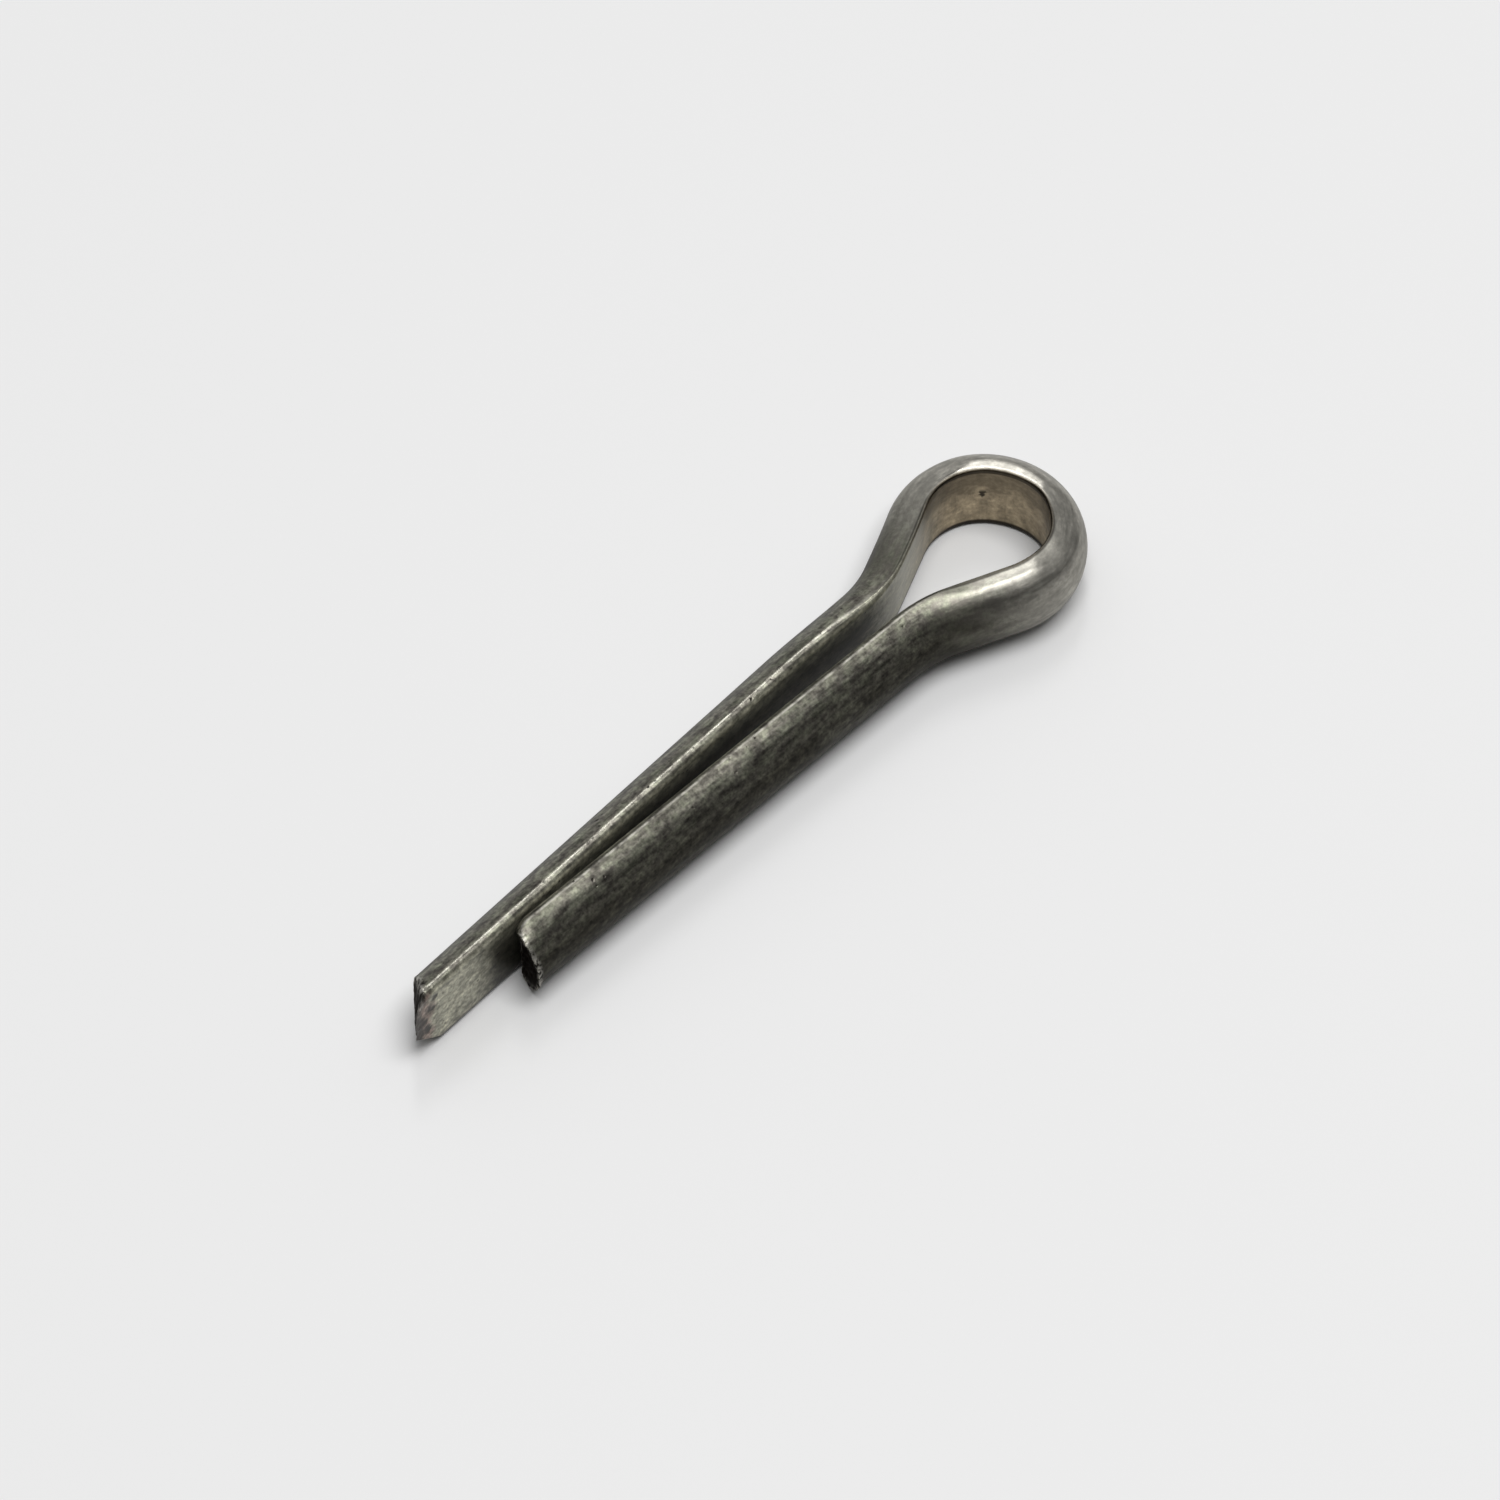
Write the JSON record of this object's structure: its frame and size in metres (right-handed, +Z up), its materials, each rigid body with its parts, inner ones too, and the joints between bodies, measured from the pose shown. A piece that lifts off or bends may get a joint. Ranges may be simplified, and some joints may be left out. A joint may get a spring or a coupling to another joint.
{
  "type": "cotter pin",
  "caption": "Split cotter pin bent from half-round steel wire, with a round eye, close legs of unequal length and slanted cut ends, for locking a nut or pin through a cross hole.",
  "frame": {"origin": "on the surface that the pin lies on, under the middle of its overall length and width", "axes": "+X from the leg ends to the eye along the pin, +Y towards the long leg's side, +Z up, across the wire's width"},
  "size_m": [0.0282, 0.0064, 0.0028],
  "materials": {
    "cotter_pin": "plain drawn steel, satin grey with fine draw lines, small pits and rough sheared ends"
  },
  "bodies": {
    "root": {"cotter_pin": "cotter_pin"}
  },
  "joints": []
}
